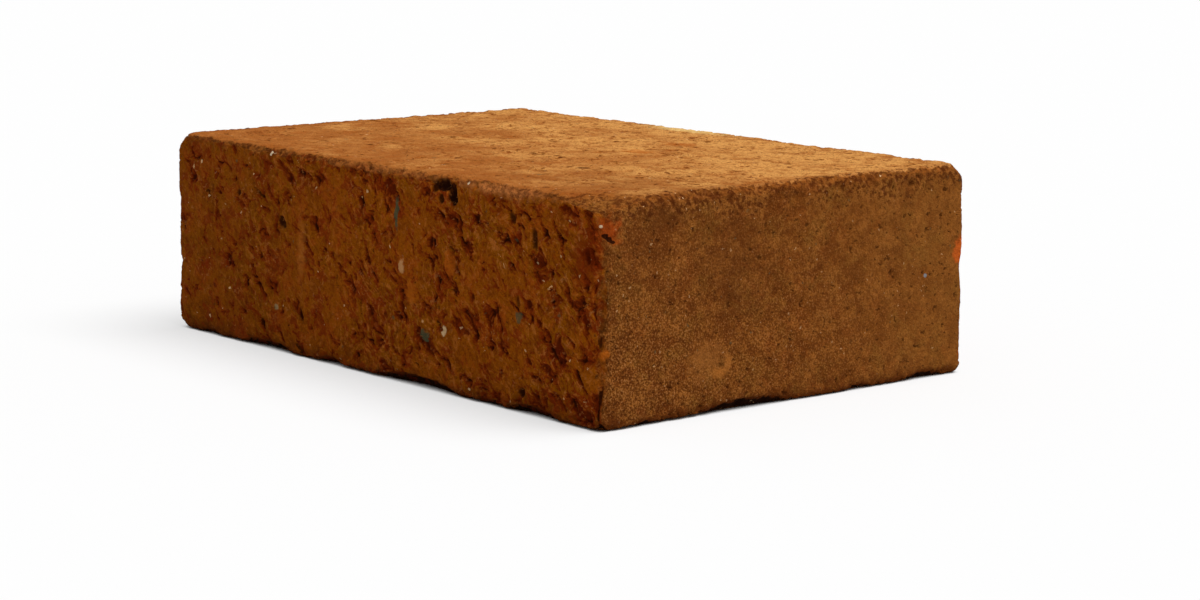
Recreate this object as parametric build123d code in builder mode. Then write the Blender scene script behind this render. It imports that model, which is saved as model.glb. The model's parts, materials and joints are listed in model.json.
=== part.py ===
from build123d import *
import os
from collections import namedtuple
from math import pi, sin

# Tuff block: one piece of volcanic stone, sawn on all six faces and laid as masonry.
# X runs along its length, Y across its width and Z up. The origin is the middle of the lower bed,
# the face that the block lies on.

# Sawn size, millimetres
block_length = 370.0
block_width = 250.0
block_height = 110.0

# Wear of the arrises: how far the worn edge lies below the sharp one, on the diagonal, millimetres
lower_wear = 1.3
upper_wear = 2.6
near_wear = 1.5  # along the two near upper arrises, which kept their edge longest
upright_foot_wear = 2.2
upright_head_wear = 3.8
knocked_wear = 4.6  # at the head of the near upright, which took the most knocks
crisp_wear = 1.0  # at the foot of the near upright
wear_round_share = 2.7  # radius of the worn round, as a share of its greater depth

# Nicks, the small chips all along the arrises: usual length, and bite below the worn edge, millimetres
nick_length = 25.0
nick_bite = 1.3

# Hollows: radius of a spall across its arris as a share of its radius along it, and depth of a gas pocket as a
# share of the breadth of its mouth, less than half so that it narrows from its mouth inwards
spall_round_share = 0.3
pocket_depth_share = 0.45

# Cutters reach this far past the faces that they trim, millimetres
overcut = 20.0

# Outward normals of the six faces, as seen with the front towards -Y
faces = {
    "left": Vector(-1, 0, 0),
    "right": Vector(1, 0, 0),
    "front": Vector(0, -1, 0),
    "back": Vector(0, 1, 0),
    "bottom": Vector(0, 0, -1),
    "top": Vector(0, 0, 1),
}
half_size = Vector(block_length / 2, block_width / 2, block_height / 2)
centre = Vector(0, 0, block_height / 2)

# An arris runs along the cross product of its two faces' normals, and its wear changes from start to end. The
# places of its nicks are shares of it from its start.
Arris = namedtuple("Arris", "first second start_wear end_wear nicks")
arrises = [
    Arris("top", "front", near_wear, upper_wear, (0.225, 0.295, 0.36, 0.50, 0.765, 0.83)),
    Arris("right", "top", near_wear, upper_wear, (0.10, 0.26, 0.60)),
    Arris("back", "top", upper_wear, upper_wear, (0.09, 0.22, 0.36, 0.50, 0.86)),
    Arris("top", "left", upper_wear, upper_wear, (0.15, 0.31, 0.72, 0.86)),
    Arris("front", "right", crisp_wear, knocked_wear, (0.28, 0.55)),
    Arris("right", "back", upright_foot_wear, upright_head_wear, (0.50,)),
    Arris("back", "left", upright_foot_wear, upright_head_wear, (0.20, 0.72)),
    Arris("left", "front", upright_foot_wear, upright_head_wear, (0.35, 0.66)),
    Arris("front", "bottom", lower_wear, lower_wear, (0.09, 0.765)),
    Arris("bottom", "right", lower_wear, lower_wear, (0.30, 0.88)),
    Arris("bottom", "back", lower_wear, lower_wear, (0.14, 0.70)),
    Arris("left", "bottom", lower_wear, lower_wear, (0.22, 0.84)),
]

# A broken corner is a flat facet. Each leg is how far it reaches in from the face of the same place.
Corner = namedtuple("Corner", "names legs")
corners = [
    Corner(("right", "front", "top"), (46.0, 34.0, 7.0)),
    Corner(("right", "front", "top"), (19.0, 15.0, 11.0)),
    Corner(("right", "back", "top"), (15.0, 14.0, 11.0)),
    Corner(("left", "front", "top"), (14.0, 16.0, 13.0)),
    Corner(("left", "back", "top"), (11.0, 12.0, 6.0)),
    Corner(("right", "front", "bottom"), (9.0, 8.0, 5.0)),
    Corner(("right", "back", "bottom"), (7.0, 9.0, 6.0)),
    Corner(("left", "front", "bottom"), (14.0, 9.0, 8.0)),
    Corner(("left", "back", "bottom"), (9.0, 11.0, 7.0)),
]

# A spall is a chip off an arris: its place is a share of the arris from its start, its length runs
# along the arris, and its bite is its depth below the sharp arris, on the diagonal.
Spall = namedtuple("Spall", "first second place length bite")
spalls = [
    Spall("front", "bottom", 0.24, 64.0, 3.6),
    Spall("front", "bottom", 0.40, 30.0, 3.2),
    Spall("front", "bottom", 0.61, 92.0, 4.6),
    Spall("front", "bottom", 0.86, 50.0, 4.2),
    Spall("bottom", "right", 0.62, 78.0, 4.4),
    Spall("bottom", "right", 0.12, 34.0, 3.4),
    Spall("top", "front", 0.42, 30.0, 3.4),
    Spall("top", "front", 0.13, 46.0, 3.0),
    Spall("right", "top", 0.72, 40.0, 3.6),
    Spall("right", "top", 0.44, 52.0, 3.2),
    Spall("back", "top", 0.66, 46.0, 5.4),
    Spall("top", "left", 0.55, 40.0, 4.6),
    Spall("bottom", "back", 0.35, 70.0, 4.2),
    Spall("left", "bottom", 0.60, 48.0, 4.0),
    Spall("back", "left", 0.45, 26.0, 5.2),
]

# A slit is a long gas pocket that the saw laid open: its place is a share of the face across and up, as seen
# from outside, and a shift from there in millimetres. Its length and breadth are those of its mouth, and its
# lean turns it anticlockwise. Pockets that meet in one vug share a place and differ by their shifts.
Slit = namedtuple("Slit", "face across up length breadth lean shift", defaults=[(0.0, 0.0)])
upper_vug = ("front", 0.672, 1.0)
low_vug = ("front", 0.287, 0.650)
slits = [
    Slit(*upper_vug, 14.0, 6.0, 5.0, (0.0, -5.0)),
    Slit(*upper_vug, 12.0, 7.0, 100.0, (8.1, -8.8)),
    Slit("front", 0.865, 0.785, 15.0, 4.5, 97.0),
    Slit("front", 0.819, 0.860, 9.0, 4.0, 125.0),
    Slit("front", 0.830, 0.495, 9.0, 3.5, 95.0),
    Slit("front", 0.334, 0.205, 9.0, 4.0, 110.0),
    Slit("front", 0.970, 0.745, 10.0, 4.5, 105.0),
    Slit("right", 0.024, 0.840, 14.0, 4.0, 147.0),
    Slit("right", 0.830, 0.930, 8.0, 3.5, 5.0),
]

# A bubble is a round gas pocket laid open the same way.
Bubble = namedtuple("Bubble", "face across up mouth shift", defaults=[(0.0, 0.0)])
bubbles = [
    Bubble(*upper_vug, 5.0, (-6.6, -7.2)),
    Bubble(*upper_vug, 5.5, (-1.5, -12.0)),
    Bubble(*low_vug, 6.0),
    Bubble(*low_vug, 4.5, (2.6, -2.0)),
    Bubble("front", 0.176, 0.750, 4.5),
    Bubble("front", 0.841, 0.095, 5.5),
]


def reach(direction):
    """Distance from the block's centre to its surface along one of its axes."""
    return abs(direction.dot(half_size))


def arris_point(first, second, along, depth):
    """Point that far along an arris from its middle and that deep below it, and the way out of the stone."""
    run = faces[first].cross(faces[second])
    outwards = (faces[first] + faces[second]).normalized()
    edge = faces[first] * reach(faces[first]) + faces[second] * reach(faces[second])
    return centre + edge + run * along - outwards * depth, outwards


def wear_section(arris):
    """Section of what wear takes off an arris, an arc with its crown inwards, and the length that it runs."""
    past_end = reach(faces[arris.first].cross(faces[arris.second])) + overcut
    start, outwards = arris_point(arris.first, arris.second, -past_end, arris.start_wear)
    end, outwards = arris_point(arris.first, arris.second, past_end, arris.end_wear)
    radius = wear_round_share * max(arris.start_wear, arris.end_wear)
    side = radius * sin(pi / 4)
    foot = side - radius
    with BuildSketch(Plane(start, x_dir=outwards.cross(end - start), z_dir=end - start)) as section:
        with BuildLine():
            ThreePointArc((side, foot), (0, 0), (-side, foot))
            Polyline((-side, foot), (-side, overcut), (side, overcut), (side, foot))
        make_face()
    return section.sketch, (end - start).length


def nick_plane(arris, place):
    """Plane along an arris and out of the stone, with its origin on the worn edge where a nick is deepest."""
    run = faces[arris.first].cross(faces[arris.second])
    along = (2 * place - 1) * reach(run)
    worn_share = (along + reach(run) + overcut) / (2 * reach(run) + 2 * overcut)
    wear = arris.start_wear + (arris.end_wear - arris.start_wear) * worn_share
    edge, outwards = arris_point(arris.first, arris.second, along, wear)
    return Plane(edge, x_dir=run, z_dir=run.cross(outwards))


def nick_wedge(place):
    """Corners of the wedge that takes a nick out: its two slopes differ, and its size changes by a fixed rule."""
    length = nick_length * (0.8 + 37 * place % 1 * 0.4)
    bite = nick_bite * (0.7 + 53 * place % 1 * 0.6)
    before = length * (0.3 + 71 * place % 1 * 0.4)
    return (0, -bite), (2 * (length - before), bite), (-2 * before, bite)


def corner_plane(corner):
    """Plane of a broken corner's facet, facing outwards."""
    normals = [faces[name] for name in corner.names]
    tip = sum((normal * reach(normal) for normal in normals), centre)
    facing = sum((normal / leg for normal, leg in zip(normals, corner.legs)), Vector())
    return Plane(tip - normals[0] * corner.legs[0], z_dir=facing)


def sagitta_radius(chord, depth):
    """Radius of the arc that has this chord and this depth below it."""
    return (chord**2 / 4 + depth**2) / (2 * depth)


def ring_section(deepest, outwards, along, long_radius, cross_radius):
    """Rim section and axis of a ring that cuts a trough, rounded to one radius along it and another across."""
    across = along.cross(outwards)
    ring_centre = deepest + outwards * long_radius
    rim_centre = deepest + outwards * cross_radius
    with BuildSketch(Plane(rim_centre, x_dir=across, z_dir=along)) as rim:
        Circle(cross_radius)
    return rim.sketch, Axis(ring_centre, across)


def spall_section(spall):
    """Rim section and axis of the ring that takes a spall off its arris."""
    run = faces[spall.first].cross(faces[spall.second])
    along = (2 * spall.place - 1) * reach(run)
    deepest, outwards = arris_point(spall.first, spall.second, along, spall.bite)
    long_radius = sagitta_radius(spall.length, spall.bite)
    return ring_section(deepest, outwards, run, long_radius, long_radius * spall_round_share)


def spot_on(pocket):
    """Place of a pocket's mouth on its face, with that face's outward and sideways directions."""
    outwards = faces[pocket.face]
    up = Vector(0, 0, 1)
    across = up.cross(outwards)
    sideways, upwards = pocket.shift
    sideways += (2 * pocket.across - 1) * reach(across)
    upwards += (2 * pocket.up - 1) * reach(up)
    return centre + outwards * reach(outwards) + across * sideways + up * upwards, outwards, across


def slit_section(slit):
    """Rim section and axis of the ring that opens a slit in its face."""
    spot, outwards, across = spot_on(slit)
    depth = slit.breadth * pocket_depth_share
    along = across.rotate(Axis((0, 0, 0), outwards), slit.lean)
    long_radius = sagitta_radius(slit.length, depth)
    return ring_section(spot - outwards * depth, outwards, along, long_radius, sagitta_radius(slit.breadth, depth))


with BuildPart() as tuff_block:
    # The sawn blank, standing on its lower bed
    with BuildSketch():
        Rectangle(block_length, block_width)
    extrude(amount=block_height)

    # Worn arrises, each cut along a line that sinks from the wear at its start to the wear at its end
    for arris in arrises:
        section, length = wear_section(arris)
        extrude(section, amount=length, mode=Mode.SUBTRACT)

    # Broken corners
    for corner in corners:
        split(bisect_by=corner_plane(corner), keep=Keep.BOTTOM)

    # Spalls off the arrises and slits in the faces
    for rim, axis in [spall_section(spall) for spall in spalls] + [slit_section(slit) for slit in slits]:
        revolve(rim, axis=axis, mode=Mode.SUBTRACT)

    # Round gas pockets
    for bubble in bubbles:
        spot, outwards, across = spot_on(bubble)
        depth = bubble.mouth * pocket_depth_share
        radius = sagitta_radius(bubble.mouth, depth)
        with Locations(spot + outwards * (radius - depth)):
            Sphere(radius, mode=Mode.SUBTRACT)

    # Nicks out of the worn arrises, each two flat facets
    for arris in arrises:
        for place in arris.nicks:
            with BuildSketch(nick_plane(arris, place)):
                Polygon(*nick_wedge(place), align=None)
    extrude(amount=overcut, both=True, mode=Mode.SUBTRACT)

tuff_block.part.label = "tuff_block"
os.makedirs("parts", exist_ok=True)
export_step(tuff_block.part, "parts/tuff_block.step")
print("tuff_block", tuff_block.part.bounding_box().size, "volume", round(tuff_block.part.volume))
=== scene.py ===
# %% [markdown]
# This is one block of volcanic tuff, sawn for a wall. The measured block comes in first, as a fixed
# frame: its worn arrises, broken corners, spalls and gas pockets are already in it. What it lacks is
# the skin of the stone, the grain, pits, crumbling edges and colour, and this lesson adds those.

# %% Load the measured block
import json
from collections import namedtuple
from math import cos, degrees, pi, radians, sin

import bpy
import numpy as np
from mathutils import Euler, Matrix, Vector

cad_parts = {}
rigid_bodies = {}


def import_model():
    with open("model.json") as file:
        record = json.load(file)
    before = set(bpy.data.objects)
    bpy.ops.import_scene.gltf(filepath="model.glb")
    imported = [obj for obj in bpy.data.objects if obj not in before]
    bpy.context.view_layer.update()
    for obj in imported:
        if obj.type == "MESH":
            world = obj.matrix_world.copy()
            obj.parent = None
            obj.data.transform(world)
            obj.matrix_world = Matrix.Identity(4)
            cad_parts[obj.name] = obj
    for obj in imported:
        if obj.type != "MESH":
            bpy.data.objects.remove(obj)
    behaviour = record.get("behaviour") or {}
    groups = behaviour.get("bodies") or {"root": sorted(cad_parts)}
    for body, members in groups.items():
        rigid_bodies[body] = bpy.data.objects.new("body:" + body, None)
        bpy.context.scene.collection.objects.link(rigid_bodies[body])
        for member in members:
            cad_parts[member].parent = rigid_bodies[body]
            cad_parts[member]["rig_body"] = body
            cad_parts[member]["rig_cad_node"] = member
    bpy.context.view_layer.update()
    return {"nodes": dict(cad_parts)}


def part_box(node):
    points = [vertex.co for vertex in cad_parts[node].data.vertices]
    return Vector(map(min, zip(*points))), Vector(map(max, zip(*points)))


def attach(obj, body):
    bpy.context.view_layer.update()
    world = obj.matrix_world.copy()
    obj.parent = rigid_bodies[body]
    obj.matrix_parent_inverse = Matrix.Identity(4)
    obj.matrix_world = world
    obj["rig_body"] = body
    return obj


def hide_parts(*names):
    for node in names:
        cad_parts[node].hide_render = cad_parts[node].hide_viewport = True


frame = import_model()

mm, mm_per_m = 0.001, 1000
block_low, block_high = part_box("tuff_block")
length, width, height = [round(mm_per_m * side, 1) for side in block_high - block_low]
half_length, half_width = length / 2, width / 2
print("measured block, mm:", length, width, height)

# %% [markdown]
# The camera stands where the photographer stood, a step back from the near corner and only a little
# above the block, with a long lens. Putting it in first means that every later step can be judged in
# the right view. It could be placed by eye, but the block's three sides are known, so the view was
# worked out from its corners.

# %% Camera
view_azimuth, view_elevation, view_roll = 49.6, 9.44, 0.47
view_distance = 1.5078
view_target = Vector((0.0374, 0.0, 0.0313))
sensor_width, focal_length = 36, 84.95

turn, rise = radians(view_azimuth), radians(view_elevation)
to_camera = Vector((sin(turn) * cos(rise), -cos(turn) * cos(rise), sin(rise)))
camera_place = view_target + view_distance * to_camera
camera_turn = Euler((pi / 2 - rise, 0, turn)).to_matrix() @ Matrix.Rotation(radians(view_roll), 3, "Z")

bpy.ops.object.select_all(action="DESELECT")
bpy.ops.object.camera_add(location=camera_place, rotation=camera_turn.to_euler())
camera = bpy.context.active_object
camera.name = "camera"
camera.data.sensor_width = sensor_width
camera.data.lens = focal_length
camera.data.clip_end = 60
bpy.context.scene.camera = camera
print("camera at", [round(c, 3) for c in camera.location])

# %% [markdown]
# The stone starts as a copy of the measured block, so that its size and its chips stay true. The copy's
# triangles are loose, so they are merged first. A voxel remesh then gives it an even skin of small
# faces, which is what carving needs: a plain subdivision would leave long slivers beside the chips.

# %% Copy the block and give it an even skin
merge_gap = 0.00001
skin_pitch = 0.00085

cad_block = frame["nodes"]["tuff_block"]
bpy.ops.object.select_all(action="DESELECT")
cad_block.select_set(True)
bpy.context.view_layer.objects.active = cad_block
bpy.ops.object.duplicate()
stone = bpy.context.active_object
stone.name = "sawn_stone"
stone.data.name = "sawn_stone"
stone.parent = None
del stone["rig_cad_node"]
del stone["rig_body"]

bpy.ops.object.mode_set(mode="EDIT")
bpy.ops.mesh.select_all(action="SELECT")
bpy.ops.mesh.remove_doubles(threshold=merge_gap)
bpy.ops.object.mode_set(mode="OBJECT")


def finish_modifier(kind, name, **settings):
    """Adds a modifier to the stone with these settings and applies it."""
    modifier = stone.modifiers.new(name, kind)
    for key, value in settings.items():
        setattr(modifier, key, value)
    bpy.ops.object.modifier_apply(modifier=name)


finish_modifier("REMESH", "even_skin", mode="VOXEL", voxel_size=skin_pitch, adaptivity=0.0)
finish_modifier("SMOOTH", "soften_creases", factor=0.5, iterations=6)
print("even skin:", len(stone.data.vertices), "points")

# %% [markdown]
# Carving and colour are both written as sums of patterns, so one small class wraps a node's socket and
# lets ordinary arithmetic add the Math nodes. Everything else, such as a noise or a colour mix, comes
# from its one method, which takes the node's type, its settings and what goes into its sockets.

# %% Arithmetic on node sockets
noise_middle, noise_spread = 0.5, 0.15


class Wire:
    """A socket of a node tree. Arithmetic on wires adds Math nodes to that tree."""

    def __init__(self, tree, socket=None):
        self.tree = tree
        self.socket = socket

    def node(self, kind, settings=None, sockets=None, out=0):
        """Adds a node: its settings first, then the values or wires of its sockets. Returns one output."""
        made = self.tree.nodes.new(kind)
        for key, value in (settings or {}).items():
            setattr(made, key, value)
        for key, value in (sockets or {}).items():
            if isinstance(value, Wire):
                self.tree.links.new(value.socket, made.inputs[key])
            else:
                made.inputs[key].default_value = value
        return Wire(self.tree, made.outputs[out] if made.outputs else None)

    def maths(self, operation, *values):
        return self.node("ShaderNodeMath", {"operation": operation}, dict(enumerate(values)))

    def __add__(self, other):
        return self.maths("ADD", self, other)

    def __sub__(self, other):
        return self.maths("SUBTRACT", self, other)

    def __mul__(self, other):
        return self.maths("MULTIPLY", self, other)

    def __truediv__(self, other):
        return self.maths("DIVIDE", self, other)

    def __rsub__(self, other):
        return self.maths("SUBTRACT", other, self)

    def __neg__(self):
        return self.maths("MULTIPLY", self, -1.0)

    def __abs__(self):
        return self.maths("ABSOLUTE", self)

    __radd__ = __add__
    __rmul__ = __mul__

    def least(self, other):
        return self.maths("MINIMUM", self, other)

    def most(self, other):
        return self.maths("MAXIMUM", self, other)

    def step(self, low, high):
        """0 below low, 1 above high and a smooth rise between them."""
        sockets = {"Value": self, "From Min": low, "From Max": high}
        return self.node("ShaderNodeMapRange", {"interpolation_type": "SMOOTHSTEP"}, sockets)

    def parts(self):
        """The X, Y and Z of a vector wire."""
        outputs = self.node("ShaderNodeSeparateXYZ", sockets={0: self}).socket.node.outputs
        return [Wire(self.tree, outputs[axis]) for axis in range(3)]

    def vector(self, x, y, z):
        return self.node("ShaderNodeCombineXYZ", sockets={0: x, 1: y, 2: z})

    def vectors(self, operation, other, out="Vector"):
        """Vector Math on this wire and another vector."""
        return self.node("ShaderNodeVectorMath", {"operation": operation}, {0: self, 1: other}, out)

    def scaled(self, factor):
        return self.node("ShaderNodeVectorMath", {"operation": "SCALE"}, {0: self, "Scale": factor})

    def noise(self, grain, detail, roughness, out):
        sockets = {"Vector": self, "Scale": 1.0 / grain, "Detail": detail, "Roughness": roughness}
        return self.node("ShaderNodeTexNoise", {"noise_dimensions": "3D"}, sockets, out)

    def swing(self, grain, detail=2.0, roughness=0.5):
        """Cloudy noise on a vector wire, with lumps about as wide as grain, mostly between -1 and 1."""
        return (self.noise(grain, detail, roughness, "Fac") - noise_middle) / noise_spread

    def wobbled(self, grain, amount):
        """A vector wire pushed about by noise, by about that amount: it makes a round pattern ragged."""
        middle = (noise_middle, noise_middle, noise_middle)
        push = self.noise(grain, 2.0, 0.5, "Color").vectors("SUBTRACT", middle)
        return self.vectors("ADD", push.scaled(amount / noise_spread))

    def cells(self, grain, out="Distance"):
        """Points scattered about grain apart: the distance to the nearest one, or its own colour."""
        sockets = {"Vector": self, "Scale": 1.0 / grain}
        return self.node("ShaderNodeTexVoronoi", {"feature": "F1"}, sockets, out)

    def grains(self, spacing, share, smallest, largest):
        """Ragged grains on scattered points: this share of the points has one, of these radii."""
        chance = self.cells(spacing, "Color").parts()[0]
        radius = smallest + (chance - (1 - share)) * ((largest - smallest) / share)
        gap = self.wobbled(1.2, 0.40).cells(spacing) * spacing
        return (1 - (gap / radius).step(0.75, 1.0)) * chance.step(1 - share, 1 - share + 0.01)

    def tinted(self, mask, colour):
        """A colour wire, with another colour laid over it where the mask is 1."""
        return self.node("ShaderNodeMix", {"data_type": "RGBA"}, {0: mask, 6: self, 7: colour}, 2)


print("node helper ready")

# %% [markdown]
# Relief and colour have to agree: a pit is deep and dark in the same place. So the patterns that both
# need are written once, as a function of where a point lay on the sawn block, in millimetres. The front
# was torn by the saw: its pits lean with the pull of the blade, run out in ragged ends, and get denser
# towards the near corner. A thin split runs up from the foot beside the near upright.

# %% Patterns that carving and colour share
drag_lean, drag_stretch = radians(45), 0.6
split_inset = 2.0
split_fades_up = (34, 70)
split_fades_back = (3, 6)

Patterns = namedtuple("Patterns", "x y z from_wall from_face from_arris from_corner "
                      "drag torn rents tears pores holes split")


def stone_patterns(place):
    """Patterns of the stone, from a point's place on the sawn block in mm."""
    x, y, z = place.parts()
    from_end, from_side = half_length - abs(x), half_width - abs(y)
    from_bed = z.least(height - z)
    from_wall = from_end.least(from_side)
    from_face = from_wall.least(from_bed)
    from_arris = from_wall.most(from_end.most(from_side).least(from_bed))
    from_corner = from_end.most(from_side).most(from_bed)

    across = x * cos(drag_lean) + z * sin(drag_lean)
    along = z * cos(drag_lean) - x * sin(drag_lean)
    drag = place.vector(across, y, along * drag_stretch).wobbled(18, 3.0)
    ragged = drag.wobbled(4.0, 1.2)
    torn = x * (0.45 / half_length) + place.swing(34, 3) * 0.7
    rents = ragged.swing(7.0, 4, 0.62) + torn * 0.30
    tears = rents.step(0.35, 1.0)
    pores = ragged.grains(10.0, 0.20, 0.5, 2.1)
    holes = place.wobbled(2.5, 0.5).swing(3.2, 2, 0.55).step(0.95, 1.2)

    line = abs(x - (half_length - split_inset) + place.swing(10, 2) * 0.7)
    split = (1 - line.step(0.4, 1.1)) * (1 - z.step(*split_fades_up))
    split = split * place.swing(7, 2).step(-0.65, -0.2) * (1 - (y + half_width).step(*split_fades_back))
    return Patterns(x, y, z, from_wall, from_face, from_arris, from_corner,
                    drag, torn.step(-0.8, 0.9), rents, tears, pores, holes, split)


print("patterns lean", round(degrees(drag_lean)), "degrees")

# %% [markdown]
# The carving pushes each point of the skin along its normal, by a height that is the sum of such
# patterns in millimetres. The saw left the beds and ends fairly even and tore the long sides. Arrises
# crumble, because two weak skins meet there, and so does the foot. A sculptor would do this with
# brushes; patterns do it the same way every time. The back can't be seen, so it is plainer than the
# front.

# %% Heights of the relief
carving = bpy.data.node_groups.new("weathered_skin", "GeometryNodeTree")
for direction in ("INPUT", "OUTPUT"):
    carving.interface.new_socket("Geometry", in_out=direction, socket_type="NodeSocketGeometry")
tools = Wire(carving)
place = tools.node("GeometryNodeInputPosition").scaled(mm_per_m)
normal = tools.node("GeometryNodeInputNormal")
pattern = stone_patterns(place)
normal_x, normal_y, normal_z = normal.parts()

square_on = (0.75, 0.95)
back_share = 0.6
sides = (-normal_y).step(*square_on) + normal_y.step(*square_on) * back_share
ends = abs(normal_x).step(*square_on)
upper_bed = normal_z.step(0.80, 0.97)
lower_bed = (-normal_z).step(0.90, 0.99)
near_arris = 1 - (pattern.from_arris + place.swing(9) * 2).step(3, 9)

uneven = place.swing(55) * 0.30
grain = place.swing(3.4, 3, 0.6) * 0.22 * (1 - lower_bed * 0.6)
dents = place.swing(9, 2) * 0.30 * (ends + upper_bed)
drag_marks = pattern.drag.swing(4.2, 3, 0.6) * (0.15 + pattern.torn * 0.35) * sides
torn_skin = place.swing(6, 4, 0.62) * (0.2 + pattern.torn * 0.3) * sides
crumble = place.swing(5, 4, 0.65).step(-0.2, 1.0) * 0.9 + place.swing(2.4, 2).step(0.3, 1.1) * 0.7
foot = place.swing(7, 3, 0.6).step(0.0, 1.0) * (1 - pattern.z.step(2, 6)) * (1 - lower_bed)
pits = (pattern.tears * 1.5 + pattern.pores * 1.6) * sides + pattern.holes * 0.9 * (ends + upper_bed)
pits = pits + foot * 0.9 + pattern.split * 1.3
relief = uneven + grain + dents + drag_marks + torn_skin - crumble * near_arris - pits
print("relief has", len(carving.nodes), "nodes")

# %% [markdown]
# One Geometry Nodes modifier does the carving. The saw cut the high spots flat, so the relief only ever
# goes inwards. What colour needs later is stored on the points: where each lay before, which way it
# faced, and how far it now lies below its surroundings. That last one is how far the blurred place of
# its neighbours lies above its own.

# %% Carve the skin
saw_level = 0.4


def keep(geometry, kind, name, value):
    """Stores a field on the points of the skin."""
    settings = {"data_type": kind, "domain": "POINT"}
    sockets = {"Geometry": geometry, "Name": name, "Value": value}
    return tools.node("GeometryNodeStoreNamedAttribute", settings, sockets)


push = normal.scaled((relief - saw_level).least(0.0) * mm)
carved = keep(tools.node("NodeGroupInput"), "FLOAT_VECTOR", "sawn_place", place)
carved = keep(carved, "FLOAT_VECTOR", "facing", normal)
carved = tools.node("GeometryNodeSetPosition", sockets={"Geometry": carved, "Offset": push})
blur = {"Value": place, "Iterations": 60}
evened = tools.node("GeometryNodeBlurAttribute", {"data_type": "FLOAT_VECTOR"}, blur)
hollow = evened.vectors("SUBTRACT", place).vectors("DOT_PRODUCT", normal, "Value")
tools.node("NodeGroupOutput", sockets={0: keep(carved, "FLOAT", "hollow", hollow)})
finish_modifier("NODES", "weathering", node_group=carving)

depths = np.empty(len(stone.data.vertices), np.float32)
stone.data.attributes["hollow"].data.foreach_get("value", depths)
print("carved skin spans, mm:", [round(mm_per_m * side, 2) for side in stone.dimensions])
print("hollow at 1, 50, 90, 99 %, mm:", np.percentile(depths, (1, 50, 90, 99)).round(2))

# %% [markdown]
# The even skin has far more faces than the flat stretches need. Decimate merges them where the surface
# is plain and keeps them where it is pitted or chipped, which a coarser remesh couldn't do.

# %% Thin the skin out and smooth its shading
most_triangles = 192000

stone.data.calc_loop_triangles()
thinning = most_triangles / len(stone.data.loop_triangles)
finish_modifier("DECIMATE", "thin_out", decimate_type="COLLAPSE", ratio=thinning,
                use_collapse_triangulate=True)
bpy.ops.object.shade_smooth()
print("thinned to", len(stone.data.polygons), "triangles")

# %% [markdown]
# A flat map of the surface keeps the patterns sharp when they are painted down into an image. Blender's
# own unwrapping would cut the rough skin into thousands of islands, so each triangle goes by its place
# instead: it belongs to the sawn face that it lies nearest to, and the six faces are laid out side by
# side.

# %% Lay the six faces out flat
points = np.empty(len(stone.data.vertices) * 3, np.float32)
stone.data.vertices.foreach_get("co", points)
points = points.reshape(-1, 3) * mm_per_m
triangles = np.empty(len(stone.data.loops), np.int32)
stone.data.loops.foreach_get("vertex_index", triangles)
middles = points[triangles.reshape(-1, 3)].mean(1)

below = np.stack([half_length - middles[:, 0], half_length + middles[:, 0], half_width - middles[:, 1],
                  half_width + middles[:, 1], height - middles[:, 2], middles[:, 2]], 1)
nearest_face = below.argmin(1).repeat(3)
spot = points[triangles] + (half_length, half_width, 0)
sheet, margin = 626.0, 4.0
# Right end, left end, back, front, upper bed and lower bed: the axes that go sideways and upwards on the
# sheet, then the corner of the sheet where the face starts.
layouts = [
    ((1, 2), (0, 2 * width + 2 * margin)),
    ((1, 2), (width + margin, 2 * width + 2 * margin)),
    ((2, 0), (length + margin, 0)),
    ((2, 0), (length + height + 2 * margin, 0)),
    ((0, 1), (0, 0)),
    ((0, 1), (0, width + margin)),
]
flat = np.zeros((len(triangles), 2), np.float32)
for number, (axes, corner) in enumerate(layouts):
    own = nearest_face == number
    flat[own] = (spot[own][:, axes] + corner + margin) / sheet
stone.data.uv_layers.new(name="OFBake").data.foreach_set("uv", flat.ravel())
print("flat map covers", flat.min(0).round(3), "to", flat.max(0).round(3))

# %% [markdown]
# Tuff is welded ash: a brown ground with darker and redder patches, pale crystals and a few grey and
# green grains. Its colour is built up as a painter would, a plain ground first and then tint over tint.
# Each tint has a mask that says where it lies. The masks come from cloudy noise at a few scales, from
# patches three centimetres wide down to grains of sand, and most of them serve more than one ground,
# because it is one stone.

# %% Start the stone material
tuff = bpy.data.materials.new("tuff")
tuff.use_nodes = True
tuff.node_tree.nodes.clear()
paint = Wire(tuff.node_tree)
place = paint.node("ShaderNodeAttribute", {"attribute_name": "sawn_place"}, out="Vector")
facing = paint.node("ShaderNodeAttribute", {"attribute_name": "facing"}, out="Vector")
hollow = paint.node("ShaderNodeAttribute", {"attribute_name": "hollow"}, out="Fac")
pattern = stone_patterns(place)
facing_x, facing_y, facing_z = facing.parts()

patches = place.swing(34, 3)
blots = place.wobbled(7, 1.6).swing(12, 4, 0.62)
rust = place.wobbled(5, 1.6).swing(11, 3, 0.6).step(0.30, 0.80)
lumps = place.swing(9, 3, 0.6)
crumbs = place.swing(3.2, 3, 0.6)
sand = place.swing(0.95, 2, 0.6)
strokes = pattern.drag.swing(2.6, 3, 0.6)


def colour(red, green, blue):
    return (red, green, blue, 1.0)


def ground(base):
    """A colour wire of one plain colour, to lay others over."""
    return paint.node("ShaderNodeMix", {"data_type": "RGBA"}, {0: 0.0, 6: base, 7: base}, 2)


def layered(skin, *layers):
    """Lays tints over a colour wire in turn. A layer is a mask, its strength and its colour."""
    for mask, strength, tint in layers:
        skin = skin.tinted(mask * strength, tint)
    return skin


print("stone material started:", len(tuff.node_tree.nodes), "nodes")
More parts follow.
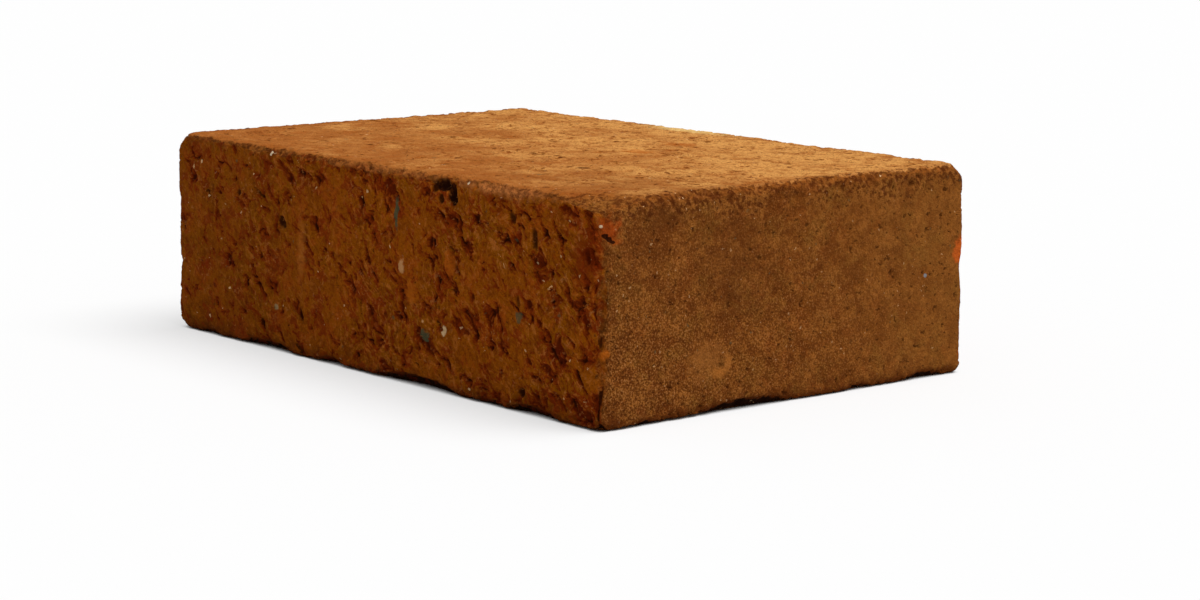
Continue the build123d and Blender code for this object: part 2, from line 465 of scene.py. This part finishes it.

# %% [markdown]
# The long sides were torn by the saw and keep the deep brown of the stone, with redder and darker blots
# and rusty places. The pull of the blade shows as paler and darker strokes. Those get stronger towards the
# near corner, and towards the left end a painted shade darkens the brown.

# %% Ground of the torn sides
painted_shade_leftwards = 1 - (pattern.x + patches * 20).step(-130, 0)
torn = layered(
    ground(colour(0.385, 0.095, 0.0014)),
    (patches.step(-0.4, 0.6), 0.70, colour(0.345, 0.101, 0.0008)),
    (blots.step(0.1, 0.9), 0.60, colour(0.46, 0.080, 0.0060)),
    (1 - blots.step(-0.9, -0.1), 0.50, colour(0.22, 0.041, 0.0010)),
    (rust, 0.75, colour(0.28, 0.029, 0.0020)),
    (strokes.step(0.2, 1.0), 0.30 + pattern.torn * 0.40, colour(0.64, 0.190, 0.0300)),
    (1 - strokes.step(-1.0, -0.2), 0.25 + pattern.torn * 0.45, colour(0.15, 0.020, 0.0010)),
    (1 - crumbs.step(-0.9, -0.2), 0.40, colour(0.17, 0.027, 0.0015)),
    (sand.step(0.3, 1.0), 0.25, colour(0.54, 0.150, 0.0180)),
    (1 - sand.step(-1.0, -0.2), 0.35, colour(0.15, 0.024, 0.0015)),
    # painted shade: the torn sides get darker towards the left end
    (painted_shade_leftwards, 0.24, colour(0.12, 0.034, 0.0030)),
)
print("with the torn ground:", len(tuff.node_tree.nodes), "nodes")

# %% [markdown]
# The ends were sawn finer and look sandy, duller than the front. Rusty and olive places lie under a
# fine speckle of dark and pale sand, which is strongest low down beside the front and fades towards the
# back, where the stone is a little paler.

# %% Ground of the sandy ends
olive = place.swing(20, 3, 0.6).step(0.0, 0.8)
speckle = (0.65 - pattern.y * (0.35 / half_width)) * (1 - pattern.z.step(25, 95) * 0.4)
sandy = layered(
    ground(colour(0.305, 0.098, 0.0155)),
    (patches.step(-0.1, 0.7), 0.60, colour(0.340, 0.120, 0.0215)),
    (rust, 0.55, colour(0.275, 0.070, 0.0110)),
    (olive, 0.60, colour(0.250, 0.098, 0.0150)),
    (1 - blots.step(-0.8, 0.2), 0.75, colour(0.175, 0.044, 0.0060)),
    (blots.step(0.3, 1.0), 0.50, colour(0.41, 0.138, 0.0240)),
    (1 - lumps.step(-0.8, 0.1), 0.40, colour(0.200, 0.052, 0.0060)),
    (lumps.step(0.4, 1.0), 0.35, colour(0.40, 0.135, 0.0240)),
    (1 - crumbs.step(-0.8, 0.0), 0.60, colour(0.155, 0.039, 0.0050)),
    ((1 - sand.step(-0.7, 0.1)) * speckle, 0.90, colour(0.100, 0.025, 0.0040)),
    (sand.step(0.4, 1.0) * speckle, 0.65, colour(0.52, 0.210, 0.0600)),
    (pattern.y.step(0, 120), 0.30, colour(0.37, 0.135, 0.0240)),
)
print("with the sandy ground:", len(tuff.node_tree.nodes), "nodes")

# %% [markdown]
# The upper bed is pale with dust and with painted light, most of all towards the back and the right end.
# Where they are thin the blots of the stone show through. Crumbs of darker stone gather in places, and
# beside the arrises the dust is rubbed off.

# %% Ground of the bed, pale with dust and painted light
dust_and_painted_light = pattern.y * (0.55 / half_width) + pattern.x * (0.25 / half_length) + patches * 0.35 + lumps * 0.12
thin_dust_and_painted_light = 1 - dust_and_painted_light.step(-0.4, 0.4)
gathered = 0.35 + place.swing(15, 3, 0.6).step(-0.2, 0.7) * 0.60
rubbed = 1 - (pattern.from_arris + lumps * 6).step(1, 20)
bed_dust_and_painted_light = layered(
    ground(colour(0.42, 0.140, 0.0290)),
    # dust and painted light: the bed gets paler towards the back and the right end
    (dust_and_painted_light.step(-0.6, 0.6), 1.0, colour(0.73, 0.338, 0.0900)),
    (1 - lumps.step(-0.9, 0.0), 0.45, colour(0.39, 0.115, 0.0190)),
    (blots.step(0.1, 0.9) * thin_dust_and_painted_light, 0.50, colour(0.40, 0.108, 0.0170)),
    ((1 - blots.step(-0.9, -0.1)) * thin_dust_and_painted_light, 0.40, colour(0.62, 0.240, 0.0560)),
    (1 - crumbs.step(-0.9, -0.2), gathered, colour(0.27, 0.068, 0.0100)),
    (1 - sand.step(-0.9, -0.2), 0.45, colour(0.25, 0.066, 0.0110)),
    (rubbed, 0.50, colour(0.35, 0.098, 0.0150)),
)
print("with the dusty ground:", len(tuff.node_tree.nodes), "nodes")

# %% [markdown]
# The stored facing of the skin says which ground shows where. The pale ground of dust and painted light
# lies on the sawn bed, and spills over the worn arrises here and there. Where a chip came off, the fresh
# stone shows instead, so the pale ground needs a skin that looks up, a place close to the bed's own level,
# and some distance from the broken near corner. Arrises and the foot of the block are darker.

# %% Lay the grounds over the block
break_along, break_across = 48, 40

spill = place.swing(11, 4, 0.65) * 0.15 + place.swing(3, 2) * 0.08
looks_up = (facing_z + spill).step(0.78, 0.95)
at_bed_level = (pattern.z + place.swing(7) * 1.2).step(height - 5.0, height - 2.0)
from_break = (half_length - pattern.x) / break_along + (half_width + pattern.y) / break_across
on_bed = looks_up * at_bed_level * (from_break + lumps * 0.08 + crumbs * 0.06).step(0.65, 1.0)
endwards = abs(facing_x) / (abs(facing_x) + abs(facing_y) + 0.001)
on_ends = (endwards + place.swing(4, 2) * 0.10).step(0.40, 0.62)
on_sides = abs(facing_y).step(0.55, 0.85)
under = (-facing_z).step(0.5, 0.9)
broken = facing_z.step(0.35, 0.75) * (1 - on_bed)
at_arris = 1 - (pattern.from_arris + place.swing(5, 3, 0.6) * 2.2).step(1.0, 6.0)
at_foot = 1 - (pattern.z + place.swing(6, 3, 0.6) * 4).step(0.5, 9)

skin = layered(
    torn,
    (on_ends.most(broken), 1.0, sandy),
    (at_arris, 0.50, colour(0.15, 0.037, 0.0050)),
    (at_arris * crumbs.step(0.2, 0.8), 0.60, colour(0.40, 0.115, 0.0160)),
    (at_foot, 0.50, colour(0.13, 0.026, 0.0040)),
    (at_foot * blots.step(0.1, 0.7) * on_sides, 0.70, colour(0.42, 0.065, 0.0060)),
    (on_bed, 1.0, bed_dust_and_painted_light),
    (under, 0.60, sandy),
)
print("grounds laid:", len(tuff.node_tree.nodes), "nodes")

# %% [markdown]
# Pits get painted shade, because hardly any light gets in. Where the foot is worn in, painted shade makes
# it a dark red-brown, and the gaps that the spalls leave under the foot are painted black as shade. The
# stored hollow finds the pits that were carved. The gas pockets of the measured block are found by how far
# they lie inside the sawn faces, away from the arrises, and from the corners, where a hollow is a break.

# %% Darken the hollows
corner_breaks = (38, 48)

at_gap = (1 - pattern.z.step(5, 10)) * (1 - (-facing_z).step(0.88, 0.98))
undercut_shade = (pattern.from_wall + crumbs * 0.6).step(1.4, 2.8) * at_gap
in_pocket = pattern.from_face.step(0.3, 1.4) * pattern.from_arris.step(3.0, 6.0)
in_pocket = in_pocket * pattern.from_corner.step(*corner_breaks)
pit_shade = hollow.step(0.45, 1.3).most(in_pocket).most(pattern.pores * on_sides * 0.85)
pit_shade = pit_shade.most(pattern.holes * (on_ends * 0.6 + on_bed * 0.6)).most(pattern.split)

skin = layered(
    skin,
    # painted shade at the worn-in foot: dark red-brown, then black in the gaps under it
    (pattern.from_wall.step(0.2, 1.8) * at_gap, 0.60, colour(0.11, 0.015, 0.0010)),
    (undercut_shade, 0.95, colour(0.010, 0.004, 0.0020)),
    (pattern.rents.step(0.05, 0.6) * on_sides, 0.65, colour(0.28, 0.028, 0.0020)),
    (pattern.tears * on_sides, 0.85, colour(0.120, 0.0110, 0.0004)),
    # painted shade in the carved pits and the gas pockets
    (pit_shade, 0.88, colour(0.032, 0.0055, 0.0008)),
)
print("with hollows:", len(tuff.node_tree.nodes), "nodes")

# %% [markdown]
# Stones differ by what is in them. This one has a few larger inclusions and stains that the eye goes to:
# pale and green clasts in the front, an orange corner, a scuff on the end. Wider and fainter ones only
# tint the ground. A few are painted light instead: painted shade in the gas pockets and slits and over the
# near part of the bed, and a painted highlight along the bed's far edge. Each is a ragged ellipsoid set
# into the block, so it looks right from every side and could be moved by changing its place. Softness is
# the share of its radius over which it fades out.

# %% Clasts, stains, painted shade and a painted highlight
pale_clast = colour(0.92, 0.62, 0.32)
white_grain = colour(1.0, 0.78, 0.50)
green_clast = colour(0.10, 0.105, 0.050)
orange_stain = colour(0.58, 0.135, 0.009)
red_stain = colour(0.20, 0.021, 0.001)
dark_stain_and_shade = colour(0.13, 0.035, 0.006)
painted_pocket_shade = colour(0.02, 0.004, 0.001)
pale_scuff = colour(0.46, 0.165, 0.033)

Dab = namedtuple("Dab", "centre radii softness strength tint")
front_y, end_x = -half_width, half_length
dabs = [
    # In the front and over its upper arris.
    Dab((29, front_y, 61), (3.0, 6, 4.4), 0.50, 0.90, colour(0.74, 0.36, 0.14)),
    Dab((64, front_y, 32), (1.9, 6, 3.4), 0.45, 0.95, pale_clast),
    Dab((48, front_y, 27), (4.6, 6, 3.6), 0.35, 0.90, green_clast),
    Dab((25, front_y, 87), (1.9, 6, 9.0), 0.40, 0.90, green_clast),
    Dab((-84, front_y, 24), (2.2, 6, 2.0), 0.45, 0.80, colour(0.42, 0.30, 0.14)),
    Dab((124, front_y, 47), (3.0, 6, 3.0), 0.40, 0.75, green_clast),
    Dab((68, front_y, 66), (5, 6, 8), 0.60, 0.75, orange_stain),
    Dab((37, front_y, 48), (8, 6, 8), 0.80, 0.55, orange_stain),
    Dab((-60, front_y, 58), (4.5, 6, 27), 0.90, 0.55, colour(0.56, 0.165, 0.022)),
    # painted shade in the vug under the upper front arris
    Dab((64, front_y, 105), (8, 6, 3.4), 0.35, 0.95, painted_pocket_shade),
    Dab((72, front_y, 101), (3.6, 6, 6.4), 0.35, 0.95, painted_pocket_shade),
    Dab((173, front_y, 82), (13, 14, 20), 0.85, 0.70, red_stain),
    Dab((112, front_y, 108), (44, 8, 6), 0.90, 0.70, colour(0.60, 0.200, 0.050)),
    Dab((12, front_y, 109), (66, 6, 5), 0.90, 0.60, colour(0.52, 0.170, 0.036)),
    # At the near upright and in the right end.
    Dab((end_x, -122, 37), (4, 4, 3.4), 0.60, 0.75, orange_stain),
    Dab((end_x, -120, 96), (9, 9, 7), 0.95, 0.65, colour(0.62, 0.085, 0.008)),
    Dab((end_x, -115, 90), (5, 4, 2), 0.80, 0.45, colour(0.62, 0.120, 0.014)),
    # painted shade in the slits near the top of the near upright
    Dab((end_x, -124, 94.2), (4, 2.2, 1.0), 0.40, 0.95, painted_pocket_shade),
    Dab((end_x, -121.6, 92.6), (4, 2.2, 1.2), 0.40, 0.95, painted_pocket_shade),
    Dab((end_x, -119.3, 91.1), (4, 2.2, 1.1), 0.40, 0.95, painted_pocket_shade),
    Dab((end_x, -117.2, 89.8), (4, 1.8, 0.8), 0.40, 0.95, painted_pocket_shade),
    Dab((end_x, -42, 68), (8, 30, 42), 0.95, 0.38, dark_stain_and_shade),
    Dab((end_x, -84, 99), (8, 16, 9), 0.80, 0.50, dark_stain_and_shade),
    Dab((end_x, -58, 27), (8, 17, 13), 0.95, 0.48, pale_scuff),
    Dab((end_x, -50, 20), (8, 6, 4), 0.80, 0.60, colour(0.50, 0.165, 0.027)),
    Dab((end_x, -44, 25), (8, 4, 7), 0.80, 0.65, colour(0.52, 0.175, 0.030)),
    Dab((end_x, 122, 65), (6, 9, 9), 0.50, 0.90, colour(0.64, 0.12, 0.016)),
    Dab((end_x, 94, 54), (4, 1.2, 1.2), 0.40, 0.85, colour(0.26, 0.28, 0.30)),
    # On the upper bed.
    Dab((42, 23, height), (15, 10, 6), 0.80, 0.60, colour(0.54, 0.15, 0.020)),
    Dab((29, 64, height), (17, 9, 6), 0.80, 0.60, colour(0.47, 0.12, 0.016)),
    # painted highlight along the far edge of the bed
    Dab((-24, 116, height), (46, 9, 4), 0.90, 0.75, colour(0.90, 0.60, 0.22)),
    Dab((82, -49, height), (4, 4, 4), 0.50, 0.80, dark_stain_and_shade),
    # painted shade over the near part of the bed
    Dab((150, -72, height), (80, 60, 5), 0.95, 0.18, dark_stain_and_shade),
    # White grains near the upper front arris.
    Dab((-88, front_y, 107), (1.1, 3, 1.6), 0.35, 0.95, white_grain),
    Dab((-175, front_y, 107), (1.2, 3, 1.1), 0.35, 0.95, white_grain),
    Dab((83, front_y, 108), (0.9, 3, 0.9), 0.35, 0.95, white_grain),
    Dab((182, front_y, 97), (1.5, 3, 1.1), 0.35, 0.95, white_grain),
]
rim = 1.05
frayed = place.swing(5, 3, 0.65) * 0.28
for dab in dabs:
    offset = place.vectors("SUBTRACT", dab.centre).vectors("DIVIDE", dab.radii)
    reach = offset.vectors("LENGTH", (0, 0, 0), "Value")
    mask = 1 - (reach + frayed).step(rim - dab.softness, rim)
    skin = layered(skin, (mask, dab.strength, dab.tint))
print(len(dabs), "clasts and stains")

# %% [markdown]
# Pale crystals are scattered through the whole stone, so they are cells with a chance each: many are
# too small to see, and a few are nearly two millimetres across. They are a little smoother than the
# dull ground. Finer ones follow the strokes of the blade on the torn sides and sparkle on the ends, and
# a few grains are green or dark.

# %% Pale crystals and dark grains
clustered = (place.swing(16, 3) + pattern.torn * 0.4).step(0.0, 0.9)
on_rim = on_ends * (pattern.z + lumps * 6).step(height - 16, height - 4)
crystals = place.grains(6.5, 0.32, 0.30, 0.95) * (0.60 + clustered * 0.40) * (1 - on_bed * 0.5)
dragged = pattern.drag.grains(4.6, 0.18, 0.30, 0.75) * on_sides * clustered
fleck_places = (clustered * on_sides * 0.45).most(on_rim * 0.25)
flecks = place.swing(2.0, 3, 0.6).step(0.55, 1.1) * fleck_places
sparkle = place.grains(4.2, 0.30, 0.25, 0.60) * on_ends * (0.45 + on_rim * 0.4)
green_grains = place.grains(11.0, 0.22, 0.5, 1.5)
dark_grains = place.grains(5.0, 0.30, 0.4, 1.0) * (1 - on_ends * 0.5)
crumbling = on_rim.most(broken * 0.7)

skin = layered(
    skin,
    (crumbling * (1 - crumbs.step(-0.6, 0.2)), 0.70, colour(0.08, 0.015, 0.0020)),
    (dark_grains, 0.55, colour(0.05, 0.013, 0.003)),
    (green_grains, 0.50, green_clast),
    (flecks, 1.0, colour(0.60, 0.215, 0.0600)),
    (sparkle, 1.0, colour(0.86, 0.50, 0.23)),
    (dragged, 0.80, colour(0.92, 0.52, 0.22)),
    (crystals, 0.90, colour(1.0, 0.66, 0.34)),
)
print("with crystals:", len(tuff.node_tree.nodes), "nodes")

# %% [markdown]
# A bump finishes what is too fine for the mesh: the grit of the ash. Its height is in millimetres, so
# it has the same scale as the carving. The shader itself stays plain and rough, because dry stone has
# hardly any shine.

# %% Grit and the finished stone material
grit = place.swing(0.7, 2, 0.65) * 0.06 + sand * 0.09 + crumbs * 0.12
grit = grit + strokes * on_sides * pattern.torn * 0.12
bump = paint.node("ShaderNodeBump", sockets={"Strength": 1.0, "Distance": mm, "Height": grit})
rough = 0.96 - crystals * 0.2
stone_shader = paint.node("ShaderNodeBsdfPrincipled", sockets={
    "Base Color": skin, "Roughness": rough, "Normal": bump, "Specular IOR Level": 0.03,
})
paint.node("ShaderNodeOutputMaterial", sockets={"Surface": stone_shader})
stone.data.materials.clear()
stone.data.materials.append(tuff)
print("stone material:", len(tuff.node_tree.nodes), "nodes")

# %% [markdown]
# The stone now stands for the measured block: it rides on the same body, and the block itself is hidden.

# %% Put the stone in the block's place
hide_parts("tuff_block")
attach(stone, "root")
print(stone.name, "stands for tuff_block")

# %% [markdown]
# The block lies on a plain pale floor. To the camera and in reflections the floor is nearly white and
# keeps the block's shadow, and it goes dark in the thin gap under the worn arrises, which ambient
# occlusion finds. To other rays it is grey, so that it doesn't throw too much light up at the front.

# %% Floor
floor_size, floor_drop = 30, 0.0001

bpy.ops.object.select_all(action="DESELECT")
bpy.ops.mesh.primitive_plane_add(size=floor_size, location=(0, 0, -floor_drop))
floor = bpy.context.active_object
floor.name = "floor"

pale = bpy.data.materials.new("pale_floor")
pale.use_nodes = True
pale.node_tree.nodes.clear()
paint = Wire(pale.node_tree)
seen = paint.node("ShaderNodeLightPath", out="Is Camera Ray")
seen = seen.most(paint.node("ShaderNodeLightPath", out="Is Glossy Ray"))
occlusion = paint.node("ShaderNodeAmbientOcclusion", {"samples": 8}, {"Distance": 0.012}, "AO")
matt = paint.node("ShaderNodeBsdfDiffuse", sockets={"Color": colour(0.55, 0.55, 0.55)})
lit = paint.node("ShaderNodeBsdfDiffuse", sockets={"Color": colour(0.9, 0.9, 0.9)})
white = paint.node("ShaderNodeEmission", sockets={"Color": colour(1, 1, 1), "Strength": 1.0})
open_air = occlusion.step(0.15, 0.5) * 0.6
bright = paint.node("ShaderNodeMixShader", sockets={0: open_air, 1: lit, 2: white})
paint.node("ShaderNodeOutputMaterial", sockets={
    "Surface": paint.node("ShaderNodeMixShader", sockets={0: seen, 1: matt, 2: bright}),
})
floor.data.materials.append(pale)
print("floor laid,", floor_size, "m wide")

# %% [markdown]
# The light is soft and comes from above, a little from the right and from behind, so the upper bed is
# bright, the end is half lit and the front is in shade. A wide sun does this evenly over the whole
# floor. The sky is a plain dim grey, and white to the camera.

# %% Light
to_sun = Vector((0.32, 0.22, 0.92))

bpy.ops.object.light_add(type="SUN", location=(0, 0, 2))
sun = bpy.context.active_object
sun.name = "overhead"
sun.data.energy = 2.8
sun.data.angle = radians(50)
sun.rotation_euler = to_sun.to_track_quat("Z", "Y").to_euler()

world = bpy.data.worlds.new("plain_sky")
bpy.context.scene.world = world
world.use_nodes = True
world.node_tree.nodes.clear()
paint = Wire(world.node_tree)
seen = paint.node("ShaderNodeLightPath", out="Is Camera Ray")
dim = paint.node("ShaderNodeBackground", sockets={"Color": colour(1, 1, 1), "Strength": 0.27})
white = paint.node("ShaderNodeBackground", sockets={"Color": colour(1, 1, 1), "Strength": 1.0})
paint.node("ShaderNodeOutputWorld", sockets={
    "Surface": paint.node("ShaderNodeMixShader", sockets={0: seen, 1: dim, 2: white}),
})
bpy.context.scene.view_settings.view_transform = "Standard"
print("lit by", sun.name, "and", world.name)
